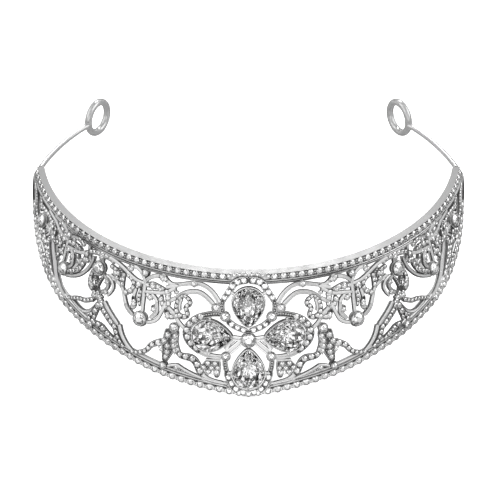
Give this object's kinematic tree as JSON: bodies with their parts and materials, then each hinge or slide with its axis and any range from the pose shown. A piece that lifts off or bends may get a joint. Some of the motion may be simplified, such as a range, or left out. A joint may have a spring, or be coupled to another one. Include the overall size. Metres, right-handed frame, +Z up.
{
  "type": "bridal crown",
  "caption": "Openwork bridal crown: a curved base rail, a flared pierced wall of stone-set garlands with a cross of pear stones, a crest rail and two wires that end in loops.",
  "frame": {"origin": "bottom centre of the crown as it rests on its crest tip and both loops", "axes": "+X to the right of someone looking at its front, +Y towards its open back, +Z up"},
  "size_m": [0.1516, 0.1223, 0.0322],
  "materials": {
    "white_metal": "polished",
    "diamond": "cut and polished"
  },
  "bodies": {
    "root": {"base_rail": "white_metal", "crest_rail": "white_metal", "centre_ornament": "white_metal", "left_garland": "white_metal", "right_garland": "white_metal", "left_wire": "white_metal", "right_wire": "white_metal", "pear_top": "diamond", "pear_bottom": "diamond", "pear_left": "diamond", "pear_right": "diamond", "centre_stone": "diamond", "left_upper_cluster": "diamond", "left_inner_cluster": "diamond", "left_lower_cluster": "diamond", "left_vine": "diamond", "left_spray_top": "diamond", "left_spray_drop": "diamond", "left_bow": "diamond", "left_crest_inner": "diamond", "left_crest_outer": "diamond", "left_outer_spray_top": "diamond", "left_outer_spray_drop": "diamond", "left_outer_bow": "diamond", "right_upper_cluster": "diamond", "right_inner_cluster": "diamond", "right_lower_cluster": "diamond", "right_vine": "diamond", "right_spray_top": "diamond", "right_spray_drop": "diamond", "right_bow": "diamond", "right_crest_inner": "diamond", "right_crest_outer": "diamond", "right_outer_spray_top": "diamond", "right_outer_spray_drop": "diamond", "right_outer_bow": "diamond", "rail_row": "diamond", "crest_row": "diamond"}
  },
  "joints": []
}
